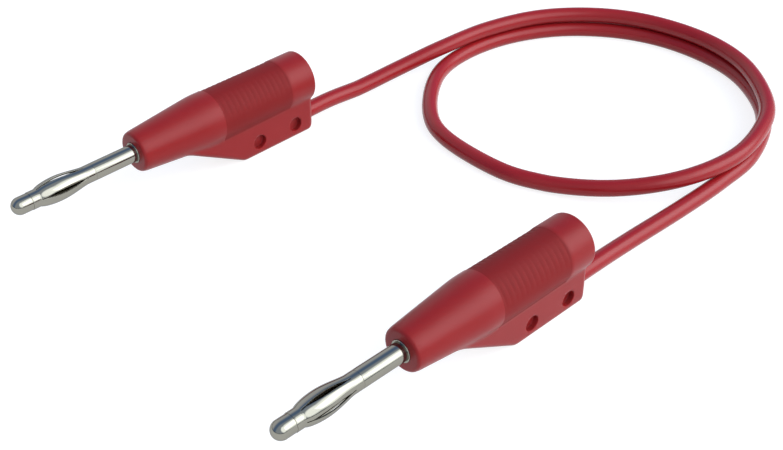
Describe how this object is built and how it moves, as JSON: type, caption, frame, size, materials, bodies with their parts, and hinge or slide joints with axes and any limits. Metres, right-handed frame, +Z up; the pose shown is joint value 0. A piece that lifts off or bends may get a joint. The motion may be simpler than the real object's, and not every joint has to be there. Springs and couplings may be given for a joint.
{
  "type": "test lead",
  "caption": "Flexible test lead with stackable sprung-pin plugs at its ends, moulded insulators with ribbed grips and cable keels, and one looped cable.",
  "frame": {"origin": "on the surface that the lead lies on, under the middle of the two plugs' box", "axes": "+X along both plugs from the pins to the sockets, +Y from the near plug to the far one, +Z up"},
  "size_m": [0.1372, 0.0768, 0.0149],
  "materials": {
    "insulator": "matte moulded red",
    "cable": "glossy red sheath",
    "nickel": "bright nickel plating",
    "brass": "bright brass",
    "copper": "bare copper strands"
  },
  "bodies": {
    "root": {"insulator_a": "insulator", "contact_pin_a": "nickel", "spring_cage_a": "nickel", "socket_sleeve_a": "brass", "cable_lug_a": "brass", "wire_end_a": "copper", "insulator_b": "insulator", "contact_pin_b": "nickel", "spring_cage_b": "nickel", "socket_sleeve_b": "brass", "cable_lug_b": "brass", "wire_end_b": "copper", "cable": "cable"}
  },
  "joints": []
}
